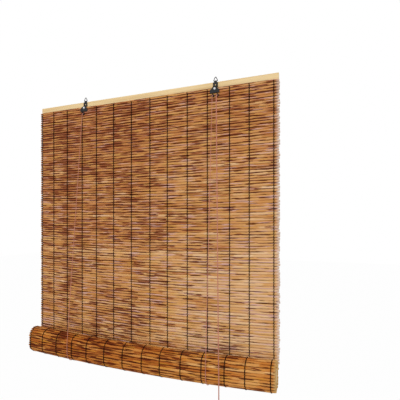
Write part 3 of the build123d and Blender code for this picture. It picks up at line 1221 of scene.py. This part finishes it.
    def build_panel(self) -> None:
        """Hang panel and threads on the head."""
        reeds = self.matting("panel_reeds", self.panel_reeds(), self.panel_bow, self.comb, PANEL_REED)
        routes = [self.twined(x, phase) for x in self.thread_places() for phase in (0, 1)]
        threads = self.threads("panel_threads", routes, self.thread)
        standing_for(reeds, "reed_mat")
        standing_for(threads, "warp_threads")
        keep = 1 - self.lift / (self.pitch * self.count)
        for piece in (reeds, threads):
            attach(piece, Body.HEAD.value)
            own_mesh(piece)

    def build_roll(self) -> None:
        """Build the roll and the threads over it on the turning body."""
        right = (-self.ragged, self.ragged)
        reeds = self.matting("rolled_reeds", self.spiral.reeds(self.pitch), self.roll_bow, right, ROLL_REED)
        sway = self.roll_thread * self.roll_thread_sway
        routes = [self.wound(x, aside) for x in self.thread_places() for aside in (sway, -sway)]
        threads = self.threads("rolled_threads", routes, self.roll_thread)
        standing_for(reeds, "reed_roll")
        standing_for(threads, "roll_threads")
        for piece in (reeds, threads):
            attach(piece, Body.ROLL.value)


# How far each lift cord leans aside on its way down.
CORD_LEANS = {Side.LEFT: -0.023, Side.RIGHT: -0.003}


@dataclass
class LiftCord:
    """One lift cord: front strand, sling under the roll, back strand with its knot.

    The wrap is given in shares of the roll's first turn. The back strand is upright for a stretch at its
    foot, and has points below and above the batten's lower edge.
    """

    side: Side
    work: ReedWork
    lean: float
    clear: float = 0.0044
    twist: Twist = Twist(0.0025)
    knot: Knot = Knot(0.006)
    knot_shift: Point = (0.0, 0.0012, 0.001)
    wrap_from: float = 0.06
    wrap_share: float = 0.54
    wrap_points: int = 15
    upright: float = 0.03
    play: float = 0.001
    below_edge: float = 0.003
    above_edge: float = 0.012
    front_steps: int = 130
    back_steps: int = 80
    sling_steps: int = 8

    def node(self, name: str) -> str:
        """Name of this side's CAD node."""
        return f"{self.side.value}_{name}"

    def front(self) -> list[Point]:
        """Route of the front strand, straight from eyelet to roll and a little aside.

        Returns:
            Control points.
        """
        low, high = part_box(self.node("lift_cord"))
        x = (low.x + high.x) / 2
        inset = self.twist.diameter / 2
        start = Vector((x, high.y - inset, high.z))
        end = Vector((x + self.lean, low.y + inset, low.z))
        return [tuple(start), tuple((start + end) / 2), tuple(end)]

    def under(self) -> list[Point]:
        """Route of the sling, down the front of the roll, under it and up its back.

        Returns:
            Control points.
        """
        spiral = self.work.spiral
        low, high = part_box(self.node("cord_sling"))
        x = (low.x + high.x) / 2 + self.lean
        inset = self.twist.diameter / 2
        reach = self.clear + inset
        hub = Vector((spiral.y, spiral.z))
        turn = spiral.turn_length(0)
        route = [(x, high.y - inset, high.z)]
        for step in range(1, self.wrap_points + 1):
            y, z = spiral.point(turn * (self.wrap_from + self.wrap_share * step / self.wrap_points))
            out = (Vector((y, z)) - hub).normalized()
            route.append((x, y + out.x * reach, z + out.y * reach))
        route.append((x, low.y + inset, high.z))
        return route

    def behind(self) -> list[Point]:
        """Route of the back strand, up behind the panel to the batten.

        Returns:
            Control points.
        """
        low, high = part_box(self.node("back_cord"))
        inset = self.twist.diameter / 2
        knot = self.knot.size / 2
        foot_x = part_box(self.node("lift_cord"))[0].x + inset + self.lean
        foot_y = low.y + inset
        top_x = low.x + knot
        top_y = high.y - knot * 2 + inset
        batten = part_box("head_batten")[0].z
        return [
            (foot_x, foot_y, low.z),
            (foot_x, foot_y, low.z + self.upright),
            (top_x + self.play, top_y - self.play, batten - self.upright),
            (top_x, top_y, batten - self.below_edge),
            (top_x, top_y, batten + self.above_edge),
            (top_x, top_y, high.z - knot),
        ]

    def piece(self, name: str, route: list[Point], steps: int) -> Object:
        """Twisted strand for one CAD node.

        Args:
            name: The node's name without its side.
            route: Control points.
            steps: Points of the line to each control point.

        Returns:
            The piece.
        """
        bm = self.twist.laid([route], steps)
        if name == "back_cord":
            bm.from_mesh(self.knot.mesh(Vector(route[-1]) + Vector(self.knot_shift)))
        self.work.sag.settle(bm.verts)
        made = finished(bm, f"{self.side.value}_{name}_strands", SALMON_CORD.material())
        return standing_for(made, self.node(name))

    def build(self) -> None:
        """Build the cord's three lengths and hang them on their bodies."""
        strands = (
            ("lift_cord", self.front(), self.front_steps),
            ("back_cord", self.behind(), self.back_steps),
        )
        for name, route, steps in strands:
            made = self.piece(name, route, steps)
            low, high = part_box(self.node(name))
            keep = 1 - self.work.lift / (high.z - low.z)
            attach(made, Body.HEAD.value)
            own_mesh(made)
        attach(self.piece("cord_sling", self.under(), self.sling_steps), Body.SLING.value)


@dataclass
class CrossCords:
    """The lift cords behind the batten, from their eyelets to the pull cord's."""

    twist: Twist = Twist(0.0025)
    apart: float = 0.0028
    front_corner: float = 0.0012
    back_corner: float = 0.0015
    steps: int = 60

    def routes(self) -> list[list[Point]]:
        """Routes of both cords.

        Returns:
            Control points of each.
        """
        low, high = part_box("cross_cords")
        inset = self.twist.diameter / 2
        lane = high.z - inset
        front = low.y + inset
        far = high.y - inset
        routes = []
        for side, back, drop in ((Side.LEFT, far, 0.0), (Side.RIGHT, far - self.apart, self.apart)):
            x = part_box(f"{side.value}_lift_cord")[0].x + inset
            route = [
                (x, front, low.z),
                (x, front, lane - self.front_corner),
                (x, front + self.front_corner, lane),
                (x, back - self.back_corner, lane),
                (x + self.back_corner, back, lane),
                (high.x, back, lane - drop),
            ]
            routes.append(route)
        return routes

    def build(self) -> None:
        """Build both cords on the head."""
        bm = self.twist.laid(self.routes(), self.steps)
        made = finished(bm, "cross_cord_strands", SALMON_CORD.material())
        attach(standing_for(made, "cross_cords"), Body.HEAD.value)


@dataclass
class PullCord:
    """The free pull cord with its turned acorn and the knot inside.

    The cord is laid in one run and cut in three: the first length hangs on the head, the second trails from
    the roll's front, and the third hangs above the acorn.
    """

    lift: float
    route: tuple[Point, ...] = (
        (0.2646, 0.0110, -0.0596),
        (0.2646, -0.0145, -0.0596),
        (0.2648, -0.0200, -0.0635),
        (0.2652, -0.0225, -0.0720),
        (0.2886, -0.0716, -0.8560),
        (0.2894, -0.0718, -0.8900),
        (0.2894, -0.0712, -0.9350),
        (0.2892, -0.0702, -0.9900),
    )
    twist: Twist = Twist(0.0034, lay_length=0.014)
    steps: int = 240
    cuts: Pair = (-0.858, -0.925)
    names: tuple[str, str, str] = ("pull_cord_strands", "pull_cord_drape", "pull_cord_end")
    lengths: tuple[float, float, float] = (0.830, 0.067, 0.065)
    far_ends: tuple[str, str, str] = ("object", "object", "fitting")
    tail_drops: tuple[float, ...] = (0.0, -0.012, -0.030)
    tail_steps: int = 20
    knot: Knot = Knot(0.0072)
    knot_drop: float = -0.0316
    acorn_shape: tuple[Pair, ...] = (
        (0.0020, 0.0), (0.0040, 0.0), (0.0050, -0.0008), (0.0050, -0.0026), (0.0044, -0.0034),
        (0.0066, -0.0050), (0.0094, -0.0095), (0.0108, -0.0160), (0.0110, -0.0190), (0.0105, -0.0205),
        (0.0105, -0.0215), (0.0109, -0.0230), (0.0105, -0.0275), (0.0092, -0.0330), (0.0078, -0.0368),
        (0.0070, -0.0380), (0.0045, -0.0380), (0.0045, -0.0280), (0.0020, -0.0280),
    )
    acorn_sides: int = 40
    weld: float = 0.00001

    def below(self, drop: float) -> Vector:
        """Point in line with the cord's end, at a height from it."""
        return Vector(self.route[-1]) + Vector((0, 0, drop))

    def acorn(self) -> Object:
        """Turned acorn spun round the cord's end.

        Returns:
            The piece.
        """
        foot = Vector(self.route[-1])
        bm = bmesh.new()
        ring = [bm.verts.new(foot + Vector((radius, 0.0, z))) for radius, z in self.acorn_shape]
        edges = [bm.edges.new(pair) for pair in zip(ring, ring[1:] + ring[:1])]
        bmesh.ops.spin(
            bm, geom=ring + edges, cent=foot, axis=(0, 0, 1), angle=2 * math.pi,
            steps=self.acorn_sides, use_merge=True,
        )
        bmesh.ops.remove_doubles(bm, verts=bm.verts, dist=self.weld)
        bmesh.ops.recalc_face_normals(bm, faces=bm.faces)
        smooth(bm)
        made = finished(bm, "turned_acorn", TURNED_TIMBER.material())
        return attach(standing_for(made, "pull_acorn"), Body.PULL.value)

    def tail(self) -> Object:
        """Cord's tail through the acorn, with its knot in the recess.

        Returns:
            The piece.
        """
        bm = self.twist.laid([[tuple(self.below(drop)) for drop in self.tail_drops]], self.tail_steps)
        bm.from_mesh(self.knot.mesh(self.below(self.knot_drop)))
        smooth(bm)
        made = finished(bm, "acorn_tail", SALMON_CORD.material())
        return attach(standing_for(made, "acorn_knot"), Body.PULL.value)

    def marks(self, line: list[Vector]) -> list[int]:
        """Where the cord's lengths start and end.

        Args:
            line: Points along the whole cord.

        Returns:
            Index of the first point, of the point at each cut, and of the last point.
        """
        cuts = [next(index for index, place in enumerate(line) if place.z < cut) for cut in self.cuts]
        return [0, *cuts, len(line) - 1]

    def stretch(self, name: str, strands: list[list[Point]], part: slice) -> Object:
        """One length of the cord.

        Args:
            name: The piece's name.
            strands: Points of each strand over the whole run.
            part: The points that belong to this length.

        Returns:
            The piece.
        """
        bm = bmesh.new()
        bm.from_mesh(self.twist.strand_mesh([route[part] for route in strands]))
        smooth(bm)
        made = finished(bm, name, SALMON_CORD.material())
        return standing_for(made, "pull_cord")

    def build(self) -> None:
        hung = [self.acorn(), self.tail()]
        line = smooth_line(self.route, self.steps)
        strands = self.twist.strand_routes(line)
        marks = self.marks(line)
        parts = [slice(first, last + 1) for first, last in zip(marks, marks[1:])]
        pieces = [self.stretch(name, strands, part) for name, part in zip(self.names, parts)]
        upper, drape, end = pieces
        top, roll_front, hanging = [tuple(line[mark]) for mark in marks[:-1]]
        keep = 1 - self.lift / (top[2] - roll_front[2])
        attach(upper, Body.HEAD.value)
        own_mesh(upper)
        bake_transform(drape)
        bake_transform(end)
        for piece, part, length, far_end in zip(pieces, parts, self.lengths, self.far_ends):
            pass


@dataclass
class Hardware:
    """Timber and metal that keep the CAD's own shapes."""

    finishes: tuple[tuple[Union[TimberFinish, MetalFinish], tuple[str, ...]], ...] = (
        (STRAW_TIMBER, ("head_batten", "bottom_rail")),
        (BLACK_SHEET, ("left_hanger", "right_hanger", "cord_eyelets")),
        (BLACK_WIRE, ("left_ring", "right_ring")),
        (BRIGHT_ZINC, ("hanger_rivets", "cord_staples")),
    )

    def dress(self) -> None:
        """Give each rigid node its finish."""
        for finish, names in self.finishes:
            material = finish.material()
            for name in names:
                mesh = NODES[name].data
                mesh.materials.clear()
                mesh.materials.append(material)
                LOG.info("%s: %s", name, finish.name)


@dataclass(frozen=True)
class Lamp:
    """Soft square lamp aimed at the blind's middle; its power is in watts."""

    name: str
    place: Point
    size: float
    power: float
    aim: Point = (0.0, 0.0, -0.45)

    def build(self) -> None:
        """Hang the lamp."""
        light = bpy.data.lights.new(self.name, "AREA")
        light.size = self.size
        light.energy = self.power
        holder = bpy.data.objects.new(self.name, light)
        holder.location = self.place
        ahead = Vector(self.aim) - Vector(self.place)
        holder.rotation_euler = ahead.to_track_quat("-Z", "Y").to_euler()
        bpy.context.scene.collection.objects.link(holder)


@dataclass
class Studio:
    """White room, soft lamps and the camera."""

    eye: Point = (0.603, -1.0251, -0.4516)
    look: Point = (-0.3633, 0.9317, 0.0)
    focal_px: float = 346.0
    image_px: float = 400.0
    sensor_mm: float = 36.0
    rise_px: float = 22.0
    floor_z: float = -2.5
    floor_reach: float = 18.0
    floor_tones: tuple[Colour, Colour] = ((0.93, 0.93, 0.93, 1.0), (0.97, 0.97, 0.97, 1.0))
    floor_grain: float = 9.0
    floor_roughness: float = 0.9
    floor_glow: float = 0.97
    ambient: float = 0.62
    lamps: tuple[Lamp, ...] = (
        Lamp("key", (-0.9, -2.3, 1.0), 1.8, 27.0),
        Lamp("fill", (1.9, -1.7, 0.1), 1.6, 12.0),
    )

    def camera(self) -> None:
        """Place the camera at the photo's viewing angle."""
        lens = bpy.data.cameras.new("camera")
        lens.sensor_width = self.sensor_mm
        lens.lens = self.focal_px / self.image_px * self.sensor_mm
        lens.shift_y = self.rise_px / self.image_px
        holder = bpy.data.objects.new("camera", lens)
        holder.location = self.eye
        holder.rotation_euler = Vector(self.look).to_track_quat("-Z", "Y").to_euler()
        bpy.context.scene.collection.objects.link(holder)
        bpy.context.scene.camera = holder

    def world(self) -> None:
        """White to the camera and in reflections, and a soft level for the rest."""
        world = bpy.data.worlds.new("white room")
        world.use_nodes = True
        bpy.context.scene.world = world
        background = world.node_tree.nodes["Background"]
        background.inputs["Color"].default_value = WHITE
        level = shown_rays(world.node_tree) * (1 - self.ambient) + self.ambient
        level.into(background.inputs["Strength"])

    def floor(self) -> None:
        """Pale floor that takes the blind's soft shadow."""
        bm = bmesh.new()
        place = Matrix.Translation((0, 0, self.floor_z))
        bmesh.ops.create_grid(bm, x_segments=2, y_segments=2, size=self.floor_reach, matrix=place)
        shade = Shade("pale floor")
        grain = shade.noise(shade.place(), self.floor_grain)
        shade.finish(Base_Color=shade.mix(grain, *self.floor_tones), Roughness=self.floor_roughness)
        glow = shade.node("ShaderNodeEmission", inputs={"Color": WHITE, "Strength": 1.0})
        surface = Value(shade.tree, shade.surface.outputs[0])
        share = shown_rays(shade.tree) * self.floor_glow
        shared = shade.node("ShaderNodeMixShader", inputs={0: share, 1: surface, 2: glow})
        shared.into(shade.tree.nodes["Material Output"].inputs["Surface"])
        finished(bm, "floor", shade.material)

    def build(self) -> None:
        """Set up the room."""
        bpy.context.scene.view_settings.view_transform = "Standard"
        self.world()
        self.floor()
        for lamp in self.lamps:
            lamp.build()
        self.camera()


def main() -> None:
    """Build the blind's looks, piece by piece."""
    logging.basicConfig(level=logging.INFO, format="%(name)s: %(message)s")
    Studio().build()
    reedwork = ReedWork()
    reedwork.build()
    for side, lean in CORD_LEANS.items():
        LiftCord(side, reedwork, lean).build()
    CrossCords().build()
    PullCord(reedwork.lift).build()
    Hardware().dress()


if __name__ == "__main__":
    main()
